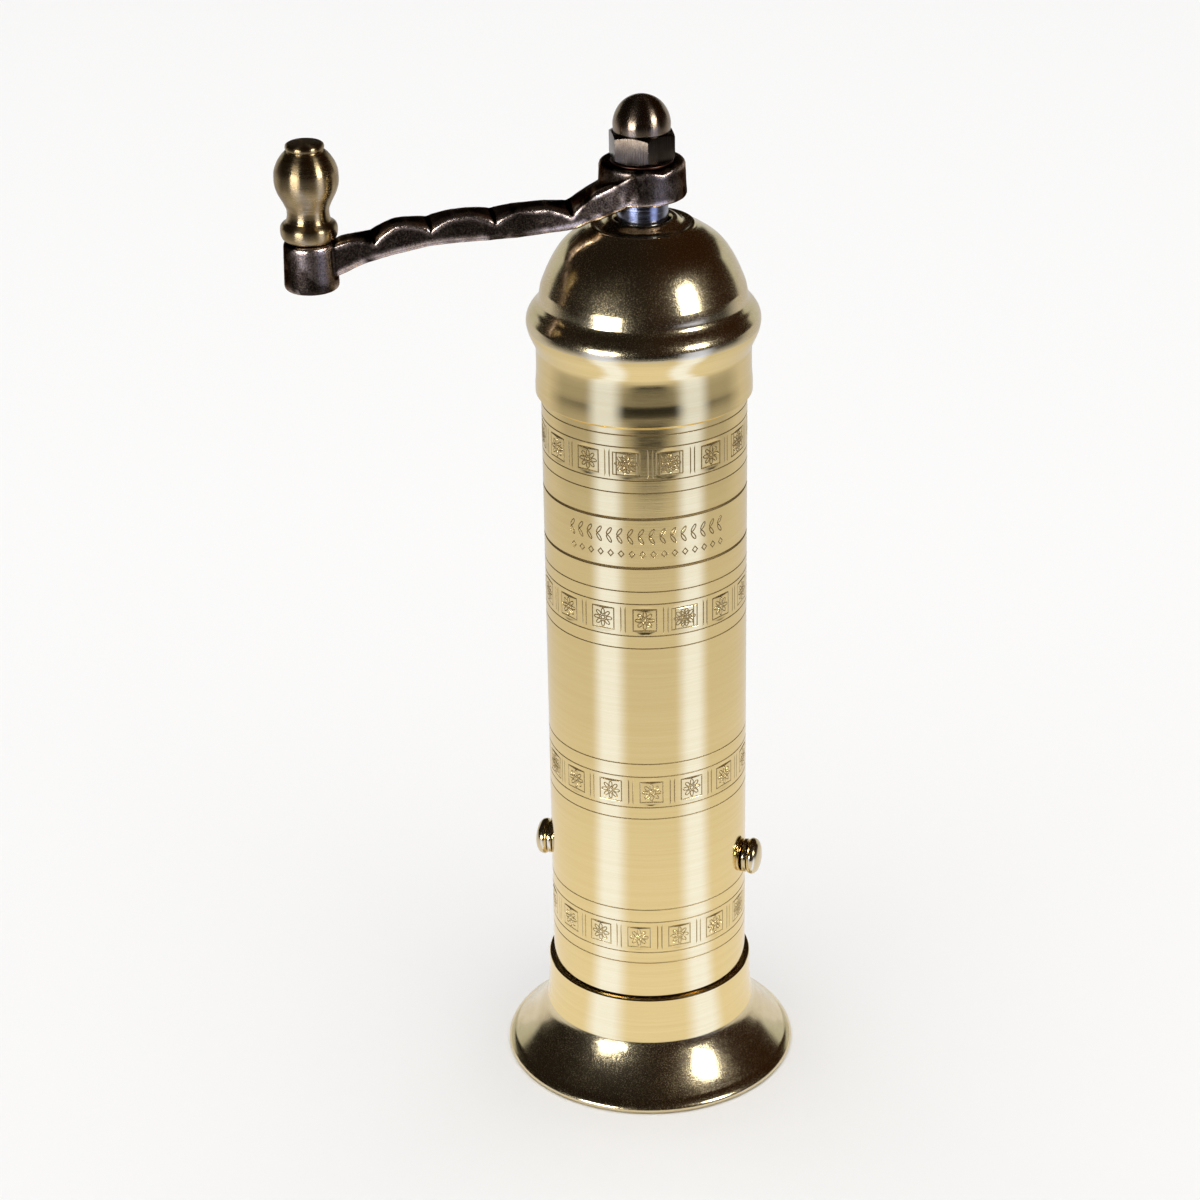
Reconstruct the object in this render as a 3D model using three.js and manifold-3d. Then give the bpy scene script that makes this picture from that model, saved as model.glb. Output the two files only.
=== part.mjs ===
// A crank-driven brass pepper mill: a tube on a flared foot, a domed lid, and a cast crank.
// The burrs sit in a housing inside the tube, and a thumb screw under them sets the grind.
// Millimetres, +Z up, the foot stands on z = 0. The origin is at the bottom centre of the
// whole object's box, so the mill's own axis stands at x = AXIS_X, and the crank points to -X.
import * as THREE from "three";
import { mergeVertices } from "three/addons/utils/BufferGeometryUtils.js";
import Module from "manifold-3d";

const wasm = await Module();
wasm.setup();

// ---- driving dimensions ----------------------------------------------------------------
const GAP = 0.3; // clearance between pieces that touch
const SEGMENTS = 40; // facets round the large turned pieces
const SMALL_SEGMENTS = 24; // facets round the small turned pieces

const FOOT_R = 30;
const COLLAR_R = 21.3; // top of the foot, a little wider than the tube
const SEAM_Z = 22; // where the tube stands on the foot
const SEAM_CHAMFER = 0.4;
const SPIGOT_TOP = 27.5; // the foot's spigot inside the tube

const TUBE_R = 20;
const BORE_R = 18.5;
const NECK_R = 19.5; // turned-down top of the tube, under the lid
const LID_BOTTOM = 148.3;
const NECK_TOP = 163;
const RINGS = [118.9, 129.2]; // the two heavy engraved rings
const RING_WIDTH = 0.7;
const RING_DEPTH = 0.25;

const BEAD_R = 22.57; // the lid's round bead
const BEAD_Z = 163;
const LID_TOP = 183.2;
const LID_HOLE_R = 5.3;

const SHAFT_HALF = 2.5; // half of the square drive shaft
const SHAFT_BOTTOM = 37.8;
const SHAFT_SHOULDER = 193; // where the square ends and the thread starts
const SHAFT_TOP = 202.4;
const THREAD_R = 2.45;
const BUSH_R = 4.9;
const BUSH_BOTTOM = 170;
const BUSH_PIN_Z = 175;

const HUB_R = 8.6;
const HUB_BOTTOM = 188;
const HUB_TOP = 194.3;
const ARM_REACH = 63.1; // from the mill's axis to the knob's axis
const ARM_HALF_WIDTH = 2.5;
const BOSS_R = 5.35;
const BOSS_BOTTOM = 169.9;
const BOSS_TOP = 179.4;
const KNOB_R = 6.17;
const KNOB_TOP = 198.6;
const KNOB_PIN_R = 1.5;

const WASHER_BOTTOM = 193.9;
const WASHER_TOP = 194.5;
const NUT_BOTTOM = 194.8;
const HEX_TOP = 199.9;
const NUT_TOP = 206.85;
const HEX_CORNER_R = 6.6;
const NUT_TURN = THREE.MathUtils.degToRad(9); // how the nut's corners happen to stand

const HOUSING_R = 18.2;
const HOUSING_BOTTOM = 33;
const HOUSING_TOP = 55;
const BURR_SEAT = 39.7; // ledge that the outer burr stands on
const BRIDGE_BOTTOM = 61; // bearing bridge over the burrs
const BRIDGE_TOP = 64;
const BRIDGE_HALF_WIDTH = 4;
const OUTER_BURR_R = 15.8;
const TEETH = 20;
const BURR_PIN_Z = 40.2;

const SCREW_Z = 46.3; // the two screws through the tube into the housing
const SCREW_TURN = THREE.MathUtils.degToRad(-13); // their common axis, seen from above
const SCREW_R = 1.45;
const SCREW_HEAD_R = 3.55;

const LOWER_BRIDGE_TOP = 32.7;
const LOWER_BRIDGE_BOTTOM = 30.2;
const BRIDGE_SCREW_X = 16.1;
const ADJUSTER_R = 2.5;
const ADJUSTER_BOSS_BOTTOM = 27;
const THUMB_BOTTOM = 12;
const THUMB_TOP = 16;
const THUMB_R = 7;
const BALL_R = 2;

// The crank reaches further from the axis than the foot does; half the difference centres the box.
const AXIS_X = (ARM_REACH + KNOB_R - FOOT_R) / 2;

// ---- finishes --------------------------------------------------------------------------
const finish = (color, roughness, metalness = 1) =>
  new THREE.MeshStandardMaterial({ color, roughness, metalness });
const satinBrass = () => finish(0xe0c98c, 0.35);
const polishedBrass = () => finish(0xc9a75c, 0.12);
const agedBrass = () => finish(0xa98d5b, 0.35);
const castBronze = () => finish(0x5a4a3c, 0.5);
const darkBronze = () => finish(0x6b5a42, 0.3);
const steel = () => finish(0x8d9099, 0.25);
const burrSteel = () => finish(0x4c4c50, 0.5);

// ---- shaping helpers -------------------------------------------------------------------
// A closed three.js geometry as a manifold-3d solid.
function toSolid(geometry) {
  const loose = geometry.index ? geometry.toNonIndexed() : geometry;
  const bare = new THREE.BufferGeometry();
  bare.setAttribute("position", loose.getAttribute("position"));
  const merged = mergeVertices(bare, 1e-4);
  const mesh = new wasm.Mesh({
    numProp: 3,
    vertProperties: new Float32Array(merged.attributes.position.array),
    triVerts: new Uint32Array(merged.index.array),
  });
  return new wasm.Manifold(mesh);
}

function toGeometry(solid) {
  const mesh = solid.getMesh();
  const geometry = new THREE.BufferGeometry();
  geometry.setAttribute("position", new THREE.BufferAttribute(mesh.vertProperties, 3));
  geometry.setIndex(new THREE.BufferAttribute(mesh.triVerts, 1));
  const faceted = geometry.toNonIndexed();
  faceted.computeVertexNormals();
  return faceted;
}

// base with every geometry in added joined on, then every one in removed cut away.
function carve(base, added, removed) {
  let solid = toSolid(base);
  for (const geometry of added) solid = solid.add(toSolid(geometry));
  for (const geometry of removed) solid = solid.subtract(toSolid(geometry));
  return toGeometry(solid);
}

// A profile of [radius, z] points turned about Z. A ring's profile closes on itself.
function turned(profile, segments = SEGMENTS) {
  const points = profile.map(([r, z]) => new THREE.Vector2(r, z));
  return new THREE.LatheGeometry(points, segments).rotateX(Math.PI / 2);
}

// The same for a ring: the first point is repeated at the end.
const ring = (profile, segments) => turned([...profile, profile[0]], segments);

// A round bar along Z.
function bar(radius, bottom, top, segments = SMALL_SEGMENTS) {
  return turned([[0, bottom], [radius, bottom], [radius, top], [0, top]], segments);
}

// A flat outline of [x, y] points raised from bottom to top.
function raised(outline, bottom, top) {
  const shape = new THREE.Shape(outline.map(([x, y]) => new THREE.Vector2(x, y)));
  const options = { depth: top - bottom, bevelEnabled: false };
  return new THREE.ExtrudeGeometry(shape, options).translate(0, 0, bottom);
}

// An outline of [x, z] points with the same thickness on both sides of y = 0.
function sideways(outline, halfWidth) {
  const flat = raised(outline, -halfWidth, halfWidth);
  return flat.rotateX(Math.PI / 2);
}

const rectangle = (x, y) => [[-x, -y], [x, -y], [x, y], [-x, y]];

// Points on one smooth curve through a few chosen ones.
function smooth(points, count) {
  const curve = new THREE.SplineCurve(points.map(([a, b]) => new THREE.Vector2(a, b)));
  return curve.getPoints(count).map((p) => [p.x, p.y]);
}

// A ring whose radius may change round the axis. Each row is { z, r(angle), turn }, and the
// rows run from the outer bottom to the outer top, then down the inside.
function shapedRing(rows, segments) {
  const positions = [];
  const index = [];
  for (const row of rows) {
    for (let k = 0; k < segments; k += 1) {
      const angle = (2 * Math.PI * k) / segments;
      const turn = angle + (row.turn ?? 0);
      const r = row.r(angle);
      positions.push(r * Math.cos(turn), r * Math.sin(turn), row.z);
    }
  }
  for (let j = 0; j < rows.length; j += 1) {
    const next = (j + 1) % rows.length;
    for (let k = 0; k < segments; k += 1) {
      const right = (k + 1) % segments;
      const a = j * segments + k;
      const b = j * segments + right;
      const c = next * segments + right;
      const d = next * segments + k;
      index.push(a, b, c, a, c, d);
    }
  }
  const geometry = new THREE.BufferGeometry();
  geometry.setAttribute("position", new THREE.Float32BufferAttribute(positions, 3));
  geometry.setIndex(index);
  return geometry;
}

// Radius functions for shapedRing.
const round = (radius) => () => radius;
const square = (half) => (angle) =>
  half / Math.max(Math.abs(Math.cos(angle)), Math.abs(Math.sin(angle)));
const toothed = (radius, depth, teeth) => (angle) => {
  const phase = ((angle * teeth) / (2 * Math.PI)) % 1;
  return radius - depth * Math.abs(1 - 2 * phase);
};

class Helix extends THREE.Curve {
  constructor(radius, bottom, top, turns) {
    super();
    Object.assign(this, { radius, bottom, top, turns });
  }
  getPoint(t, target = new THREE.Vector3()) {
    const angle = 2 * Math.PI * this.turns * t;
    const z = this.bottom + (this.top - this.bottom) * t;
    return target.set(this.radius * Math.cos(angle), this.radius * Math.sin(angle), z);
  }
}

// A coil spring whose wire touches the levels bottom and top.
function coil(radius, wireR, bottom, top, turns) {
  const path = new Helix(radius, bottom + wireR, top - wireR, turns);
  const section = new THREE.Shape();
  for (let k = 0; k < 6; k += 1) {
    const angle = (Math.PI * k) / 3;
    const corner = [wireR * Math.cos(angle), wireR * Math.sin(angle)];
    if (k === 0) section.moveTo(...corner);
    else section.lineTo(...corner);
  }
  const steps = Math.round(turns * 10);
  return new THREE.ExtrudeGeometry(section, { steps, extrudePath: path, bevelEnabled: false });
}

// ---- body ------------------------------------------------------------------------------
function foot() {
  const flare = smooth([[29.4, 1], [27.2, 3.1], [25, 6], [22.7, 8.6], [21.6, 11.5], [21.1, 16]], 8);
  const hollow = smooth([[16.6, 13], [18.4, 9.2], [21.8, 6.2], [24.8, 3], [27.4, 0]], 5);
  return ring([
    [FOOT_R - 0.3, 0],
    [FOOT_R, 0.35],
    ...flare,
    [COLLAR_R, SEAM_Z - GAP - SEAM_CHAMFER],
    [COLLAR_R - SEAM_CHAMFER, SEAM_Z - GAP],
    [BORE_R - GAP, SEAM_Z - GAP],
    [BORE_R - GAP, SPIGOT_TOP],
    [16.6, SPIGOT_TOP],
    ...hollow,
  ]);
}

function bodyTube() {
  const grooves = RINGS.flatMap((z) => [
    [TUBE_R, z - RING_WIDTH / 2],
    [TUBE_R - RING_DEPTH, z],
    [TUBE_R, z + RING_WIDTH / 2],
  ]);
  const tube = ring([
    [BORE_R, SEAM_Z],
    [TUBE_R - SEAM_CHAMFER, SEAM_Z],
    [TUBE_R, SEAM_Z + SEAM_CHAMFER],
    ...grooves,
    [TUBE_R, LID_BOTTOM - GAP],
    [NECK_R, LID_BOTTOM - GAP],
    [NECK_R, NECK_TOP],
    [BORE_R, NECK_TOP],
  ]);
  return carve(tube, [], [crossHole(SCREW_R + GAP, TUBE_R + 2)]);
}

// A bar through the whole mill on the side screws' axis.
function crossHole(radius, reach) {
  return bar(radius, -reach, reach).rotateY(Math.PI / 2).rotateZ(SCREW_TURN).translate(0, 0, SCREW_Z);
}

function domeLid() {
  const skirt = [[20.5, LID_BOTTOM], [21, LID_BOTTOM + 0.6], [21, 150.6], [20.85, 151.6], [20.83, 157]];
  const bead = smooth([[21.1, 158.6], [21.9, 160.6], [BEAD_R, BEAD_Z], [22, 165.4], [20.1, 168]], 7);
  const dome = smooth([[19.5, 170], [17.34, 175], [15, 178], [12.6, 180], [10.4, 181.4]], 6);
  const neck = [[9.2, 182.1], [7.9, 182.2], [6.6, 183.05], [6, LID_TOP], [LID_HOLE_R, 182.7]];
  const inside = smooth([[LID_HOLE_R, 181.3], [8.6, 181], [13.6, 177.8], [17, 172], [18.9, 164.6]], 5);
  return ring([
    ...skirt,
    ...bead,
    ...dome,
    ...neck,
    ...inside,
    [18.9, NECK_TOP + GAP],
    [NECK_R + GAP, NECK_TOP + GAP],
    [NECK_R + GAP, LID_BOTTOM],
  ]);
}

// A mushroom-headed screw, drawn along +Z with its axis' zero at the mill's axis.
function sideScrew() {
  const head = smooth([[SCREW_HEAD_R, 21.9], [3.3, 22.7], [2.1, 23.2], [0, 23.35]], 5);
  return turned([[0, 16.5], [SCREW_R, 16.5], [SCREW_R, 21.2], [3.3, 21.2], ...head], SMALL_SEGMENTS);
}

function sideCollar() {
  const bore = SCREW_R + GAP;
  return ring([[bore, 20.3], [3.4, 20.3], [3.6, 20.45], [3.6, 20.75], [3.4, 20.9], [bore, 20.9]],
    SMALL_SEGMENTS);
}

// Turns a piece drawn along +Z onto the side screws' axis, towards +X or towards -X.
function toSide(geometry, side) {
  const turn = side > 0 ? SCREW_TURN : SCREW_TURN + Math.PI;
  return geometry.rotateY(Math.PI / 2).rotateZ(turn).translate(0, 0, SCREW_Z);
}

// ---- grinding works --------------------------------------------------------------------
function burrHousing() {
  const shell = ring([
    [14, HOUSING_BOTTOM],
    [HOUSING_R, HOUSING_BOTTOM],
    [HOUSING_R, HOUSING_TOP],
    [OUTER_BURR_R + GAP, HOUSING_TOP],
    [OUTER_BURR_R + GAP, BURR_SEAT],
    [14, BURR_SEAT],
  ]);
  const legOut = 17.7;
  const legIn = 16.3;
  const overlap = 0.5;
  const strap = sideways(
    [
      [-legOut, HOUSING_TOP - overlap],
      [-legIn, HOUSING_TOP - overlap],
      [-legIn, BRIDGE_BOTTOM],
      [legIn, BRIDGE_BOTTOM],
      [legIn, HOUSING_TOP - overlap],
      [legOut, HOUSING_TOP - overlap],
      [legOut, BRIDGE_TOP],
      [-legOut, BRIDGE_TOP],
    ],
    BRIDGE_HALF_WIDTH,
  );
  const hub = bar(7, BRIDGE_BOTTOM, BRIDGE_TOP);
  const holes = [
    bar(3.85, BRIDGE_BOTTOM - 1, BRIDGE_TOP + 1),
    crossHole(SCREW_R + GAP, TUBE_R),
    ...[-1, 1].map((side) =>
      bar(1.2, HOUSING_BOTTOM - 1, HOUSING_BOTTOM + 4.5, 12).translate(side * BRIDGE_SCREW_X, 0, 0)),
  ];
  return carve(shell, [strap, hub], holes);
}

// The outer burr's teeth run straight up; the inner burr's lean, so they shear as they pass.
function outerBurr() {
  const rows = [
    { z: 54.7, radius: 15.1, depth: 1.2 },
    { z: 47.5, radius: 13.9, depth: 0.8 },
    { z: 44, radius: 13.2, depth: 0.5 },
    { z: 40, radius: 13.1, depth: 0.5 },
  ];
  return shapedRing(
    [
      { z: 40, r: round(OUTER_BURR_R) },
      { z: 54.7, r: round(OUTER_BURR_R) },
      ...rows.map(({ z, radius, depth }) => ({ z, r: toothed(radius, depth, TEETH) })),
    ],
    TEETH * 4,
  );
}

function innerBurr() {
  const rows = [
    { z: 41.8, radius: 12.1, depth: 0.5, turn: 0 },
    { z: 44, radius: 11.9, depth: 0.5, turn: -0.1 },
    { z: 48, radius: 10.6, depth: 1.2, turn: -0.24 },
    { z: 54.5, radius: 7.6, depth: 1.6, turn: -0.45 },
  ];
  const hole = square(SHAFT_HALF + GAP);
  return shapedRing(
    [
      ...rows.map(({ z, radius, depth, turn }) => ({ z, turn, r: toothed(radius, depth, TEETH) })),
      { z: 54.5, r: hole },
      { z: 41.8, r: hole },
    ],
    TEETH * 4,
  );
}

function lowerBridge() {
  const strap = raised(rectangle(17.6, BRIDGE_HALF_WIDTH), LOWER_BRIDGE_BOTTOM, LOWER_BRIDGE_TOP);
  const boss = bar(5.5, ADJUSTER_BOSS_BOTTOM, LOWER_BRIDGE_TOP);
  const hole = bar(ADJUSTER_R + GAP, ADJUSTER_BOSS_BOTTOM - 1, LOWER_BRIDGE_TOP + 1);
  const screwHoles = [-1, 1].map((side) =>
    bar(1.2, LOWER_BRIDGE_BOTTOM - 1, LOWER_BRIDGE_TOP + 1, 12).translate(side * BRIDGE_SCREW_X, 0, 0));
  return carve(strap, [boss], [hole, ...screwHoles]);
}

function bridgeScrew() {
  const top = HOUSING_BOTTOM + 4;
  const profile = [[0, 28.5], [1.4, 28.5], [1.8, 28.9], [1.8, 29.9], [0.9, 29.9], [0.9, top], [0, top]];
  return turned(profile, 12);
}

// The thumb screw's knurled head hangs inside the foot, where fingers reach it.
function adjustingScrew() {
  const knurls = 20;
  const edge = [];
  for (let k = 0; k < knurls * 2; k += 1) {
    const angle = (Math.PI * k) / knurls;
    const r = k % 2 ? THUMB_R : THUMB_R - 0.6;
    edge.push([r * Math.cos(angle), r * Math.sin(angle)]);
  }
  const top = SHAFT_BOTTOM - 2 * GAP - 2 * BALL_R;
  return carve(raised(edge, THUMB_BOTTOM, THUMB_TOP), [bar(ADJUSTER_R, THUMB_TOP - 1, top)], []);
}

const burrSpring = () => coil(5, 0.6, 54.8, BRIDGE_BOTTOM - GAP, 3.25);
const lockSpring = () => coil(3.9, 0.5, THUMB_TOP + GAP, ADJUSTER_BOSS_BOTTOM - GAP, 5);

function thrustBall() {
  const centre = SHAFT_BOTTOM - GAP - BALL_R;
  return new THREE.SphereGeometry(BALL_R, 16, 10).translate(0, 0, centre);
}

// ---- rotor -----------------------------------------------------------------------------
function driveShaft() {
  const rod = raised(rectangle(SHAFT_HALF, SHAFT_HALF), SHAFT_BOTTOM, SHAFT_SHOULDER);
  const thread = bar(THREAD_R, SHAFT_SHOULDER - 1, SHAFT_TOP);
  const burrPinHole = bar(1.5, -6, 6, 12).rotateY(Math.PI / 2).translate(0, 0, BURR_PIN_Z);
  const bushPinHole = bar(1.2, -6, 6, 12).rotateX(Math.PI / 2).translate(0, 0, BUSH_PIN_Z);
  return carve(rod, [thread], [burrPinHole, bushPinHole]);
}

function guideBush() {
  const top = HUB_BOTTOM - GAP;
  const hole = square(SHAFT_HALF + GAP);
  const blank = shapedRing(
    [
      { z: BUSH_BOTTOM, r: round(BUSH_R - 0.4) },
      { z: BUSH_BOTTOM + 0.4, r: round(BUSH_R) },
      { z: top - 0.3, r: round(BUSH_R) },
      { z: top, r: round(BUSH_R - 0.3) },
      { z: top, r: hole },
      { z: BUSH_BOTTOM, r: hole },
    ],
    32,
  );
  return carve(blank, [], [bar(1.2, -6, 6, 12).rotateX(Math.PI / 2).translate(0, 0, BUSH_PIN_Z)]);
}

const bushPin = () => bar(0.9, -4.5, 4.5, 12).rotateX(Math.PI / 2).translate(0, 0, BUSH_PIN_Z);
const burrPin = () => bar(1.2, -6, 6, 12).rotateY(Math.PI / 2).translate(0, 0, BURR_PIN_Z);

// ---- crank -----------------------------------------------------------------------------
// The arm sweeps down from the hub, runs nearly level, and drops again to the knob's boss.
// Seen from above its front side swells out to meet the hub's front.
function crankArm() {
  const upper = smooth([[0, 194], [-8.7, 190], [-14.5, 186.9], [-34.6, 184.9], [-47, 182.9],
    [-57.5, 179.8], [-ARM_REACH, 179.2]], 16);
  const lower = smooth([[-ARM_REACH, 170.8], [-57.7, 172.7], [-46.3, 176.8], [-34.7, 178.9],
    [-20, 180.1], [-13.4, 181.5], [-7.7, 184.3], [0, 188.2]], 16);
  const front = smooth([[-20, -ARM_HALF_WIDTH], [-11, -4.9], [-5, -7.4], [0, -8.3]], 6);
  const plan = [[-ARM_REACH, -ARM_HALF_WIDTH], ...front, [0, ARM_HALF_WIDTH],
    [-ARM_REACH, ARM_HALF_WIDTH]];
  const side = toSolid(sideways([...upper, ...lower], 12));
  const arm = side.intersect(toSolid(raised(plan, BOSS_BOTTOM, HUB_TOP)));
  const hub = turned([
    [0, HUB_BOTTOM], [HUB_R - 0.4, HUB_BOTTOM], [HUB_R, HUB_BOTTOM + 0.5],
    [8.1, HUB_TOP - 0.7], [7.5, HUB_TOP], [0, HUB_TOP],
  ], 32);
  const boss = turned([
    [0, BOSS_BOTTOM], [4.2, BOSS_BOTTOM], [BOSS_R, BOSS_BOTTOM + 0.9],
    [5.05, BOSS_TOP - 0.5], [4.6, BOSS_TOP], [0, BOSS_TOP],
  ], SMALL_SEGMENTS).translate(-ARM_REACH, 0, 0);
  const half = SHAFT_HALF + GAP;
  const holes = [
    raised(rectangle(half, half), HUB_BOTTOM - 5, HUB_TOP + 1),
    bar(6, WASHER_BOTTOM - GAP, HUB_TOP + 1, 32),
    bar(BUSH_R + 2 * GAP, BOSS_BOTTOM, HUB_BOTTOM, 32),
    bar(KNOB_PIN_R + GAP, BOSS_BOTTOM + 2.1, BOSS_TOP + 1).translate(-ARM_REACH, 0, 0),
  ];
  return carve(toGeometry(arm), [hub, boss], holes);
}

function knobPin() {
  const shank = bar(KNOB_PIN_R, BOSS_BOTTOM + 2.4, 193, 16);
  return shank.translate(-ARM_REACH, 0, 0);
}

function knob() {
  const bottom = BOSS_TOP + GAP;
  const bore = KNOB_PIN_R + GAP;
  const bulb = smooth([[4.1, 184.1], [4.05, 185.4], [4.75, 187.5], [5.9, 190], [KNOB_R, 192],
    [5.75, 194.2], [4.6, 196.2], [3.65, 197.1]], 10);
  return turned([
    [bore, bottom], [4.6, bottom], [5.25, bottom + 0.7], [5.45, bottom + 1.3], [5.45, 182.3],
    [5.1, 182.9], [4.5, 183.3], ...bulb,
    [3.75, 197.5], [3.75, 198.2], [3.4, KNOB_TOP], [0, KNOB_TOP], [0, 193.3], [bore, 193.3],
    [bore, bottom],
  ], SMALL_SEGMENTS).translate(-ARM_REACH, 0, 0);
}

// ---- top fastening ---------------------------------------------------------------------
const springWasher = () => ring(
  [[2.8, WASHER_BOTTOM], [5.6, WASHER_BOTTOM], [5.6, WASHER_TOP], [2.8, WASHER_TOP]],
  SMALL_SEGMENTS,
);

function acornNut() {
  const corners = [];
  for (let k = 0; k < 6; k += 1) {
    const angle = (Math.PI * k) / 3 - Math.PI / 2 + NUT_TURN;
    corners.push([HEX_CORNER_R * Math.cos(angle), HEX_CORNER_R * Math.sin(angle)]);
  }
  const flat = HEX_CORNER_R * Math.cos(Math.PI / 6);
  const chamfer = turned([
    [0, NUT_BOTTOM], [flat, NUT_BOTTOM], [HEX_CORNER_R, NUT_BOTTOM + 0.5],
    [HEX_CORNER_R, HEX_TOP - 0.5], [flat, HEX_TOP], [0, HEX_TOP],
  ], 36);
  const hex = toSolid(raised(corners, NUT_BOTTOM, HEX_TOP)).intersect(toSolid(chamfer));
  const dome = smooth([[5.5, 200.6], [5.3, 202.6], [4.45, 204.6], [2.9, 206], [0, NUT_TOP]], 8);
  const cap = turned([[0, HEX_TOP - 0.5], [5.5, HEX_TOP - 0.5], ...dome], SMALL_SEGMENTS);
  return carve(toGeometry(hex), [cap], [bar(THREAD_R + 0.35, NUT_BOTTOM - 1, 203.2)]);
}

// ---- assembly --------------------------------------------------------------------------
const mill = new THREE.Group();
mill.position.x = AXIS_X;

function piece(name, geometry, material) {
  const mesh = new THREE.Mesh(geometry, material);
  mesh.name = name;
  mill.add(mesh);
}

piece("foot", foot(), polishedBrass());
piece("body_tube", bodyTube(), satinBrass());
piece("dome_lid", domeLid(), polishedBrass());
for (const [name, side] of [["right", 1], ["left", -1]]) {
  piece(`side_screw_${name}`, toSide(sideScrew(), side), polishedBrass());
  piece(`side_collar_${name}`, toSide(sideCollar(), side), polishedBrass());
  const bridgeScrewAt = bridgeScrew().translate(side * BRIDGE_SCREW_X, 0, 0);
  piece(`bridge_screw_${name}`, bridgeScrewAt, steel());
}
piece("burr_housing", burrHousing(), agedBrass());
piece("outer_burr", outerBurr(), burrSteel());
piece("lower_bridge", lowerBridge(), steel());
piece("adjusting_screw", adjustingScrew(), agedBrass());
piece("lock_spring", lockSpring(), steel());
piece("thrust_ball", thrustBall(), steel());
piece("burr_spring", burrSpring(), steel());
piece("drive_shaft", driveShaft(), steel());
piece("guide_bush", guideBush(), steel());
piece("bush_pin", bushPin(), steel());
piece("inner_burr", innerBurr(), burrSteel());
piece("burr_pin", burrPin(), steel());
piece("crank_arm", crankArm(), castBronze());
piece("knob_pin", knobPin(), steel());
piece("knob", knob(), agedBrass());
piece("spring_washer", springWasher(), steel());
piece("acorn_nut", acornNut(), darkBronze());

const part = new THREE.Group();
part.add(mill);

export default part;
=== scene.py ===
"""A crank-driven brass pepper mill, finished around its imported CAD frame.

The engraved tube, the lid, the foot, the cast crank and the rest are built here as fine meshes
in millimetres from the mill's own axis, and placed in metres over the CAD nodes they stand for.
"""

import math

import bmesh
import bpy
import numpy as np
from mathutils import Matrix, Vector, noise
from mathutils.geometry import delaunay_2d_cdt

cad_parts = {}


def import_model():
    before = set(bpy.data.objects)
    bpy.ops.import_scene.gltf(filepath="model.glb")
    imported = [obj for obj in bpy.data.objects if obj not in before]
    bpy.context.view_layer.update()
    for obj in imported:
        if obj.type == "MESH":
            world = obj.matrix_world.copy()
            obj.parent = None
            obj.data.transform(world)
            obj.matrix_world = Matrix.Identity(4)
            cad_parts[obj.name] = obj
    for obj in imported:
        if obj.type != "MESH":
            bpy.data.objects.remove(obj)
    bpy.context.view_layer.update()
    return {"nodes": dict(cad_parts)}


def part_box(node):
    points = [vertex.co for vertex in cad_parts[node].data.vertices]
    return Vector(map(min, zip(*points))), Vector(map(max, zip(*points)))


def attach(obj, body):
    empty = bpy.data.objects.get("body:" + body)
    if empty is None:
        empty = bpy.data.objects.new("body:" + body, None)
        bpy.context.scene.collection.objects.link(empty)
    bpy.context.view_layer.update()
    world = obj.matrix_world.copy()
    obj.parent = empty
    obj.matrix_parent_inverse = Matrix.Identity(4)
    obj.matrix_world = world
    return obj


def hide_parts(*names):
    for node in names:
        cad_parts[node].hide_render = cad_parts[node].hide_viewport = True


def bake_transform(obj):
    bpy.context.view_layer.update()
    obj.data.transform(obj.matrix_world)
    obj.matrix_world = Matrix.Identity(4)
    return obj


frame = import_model()

# ---- sizes, in millimetres from the mill's axis ------------------------------------------
MM = 0.001
tube_low, tube_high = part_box("body_tube")
MILL = Vector(((tube_low.x + tube_high.x) / 2, (tube_low.y + tube_high.y) / 2, 0))
knob_low, knob_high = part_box("knob")
KNOB = Vector(((knob_low.x + knob_high.x) / 2, (knob_low.y + knob_high.y) / 2, 0))
REACH = (MILL.x - KNOB.x) / MM  # from the mill's axis to the knob's axis


def span(node):
    """(bottom, top) of a CAD node in millimetres."""
    low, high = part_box(node)
    return low.z / MM, high.z / MM


GAP = 0.3  # clearance between pieces that touch
ROUND = 225  # facets round the large turned pieces
SMALL_ROUND = 96  # facets round the small ones

SEAM, NECK_TOP = span("body_tube")
TUBE_R = 20
BORE_R = 18.5
NECK_R = 19.5
LID_BOTTOM, LID_TOP = span("dome_lid")
LID_SATIN_TOP = 162.1  # the lid is brushed below this height and polished above it
FOOT_SATIN_BOTTOM = 11.8  # the foot is brushed above this height and polished below it

# Engraving: fine rings, two heavy rings, and four bands of stamped flower squares.
FINE_RINGS = [30.2, 32.7, 39.8, 42.7, 63.8, 66.4, 73.3, 76.2,
              101.7, 104.4, 111.25, 113.9, 134.6, 137.2, 144, 146.5]
HEAVY_RINGS = [118.9, 129.2]
FINE_HALF, FINE_DEPTH = 0.13, 0.12
HEAVY_HALF, HEAVY_DEPTH = 0.3, 0.26
BAND_CENTRES = [36.25, 69.85, 107.8, 140.6]
BAND_PHASES = [-7, 1, -2, 14]  # degrees by which each band's first square misses the front
BAND_HEIGHT = 6
TITLE_CENTRE = 124.05  # the plain band between the heavy rings, with a short leaf border
TITLE_HEIGHT = 8
TITLE_TILES = 4  # tiles of leaf border, side by side at the front
TILES = 15  # stamped squares round each band
TILE_WIDTH = 2 * math.pi * TUBE_R / TILES
TILE_COLUMNS = ROUND // TILES
STROKE_HALF, STROKE_DEPTH = 0.13, 0.12
SQUARE_HALF = 2.28

ROW_HEIGHT = 0.75  # height of the rows that an engraved tile is cut into

SCREW_Z = 46.3  # height of the side screws
HUB_BOTTOM, HUB_TOP = 188, 194.3  # the hub's underside round the bush, and its top
ARM_HALF_WIDTH = 2.5
ARM_VOXEL = 0.22
SHAFT_HALF = 2.5  # half the width of the shaft's square
PIN_BORE = 1.8  # radius of the hole for the knob's pin
random = np.random.default_rng(7)


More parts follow.
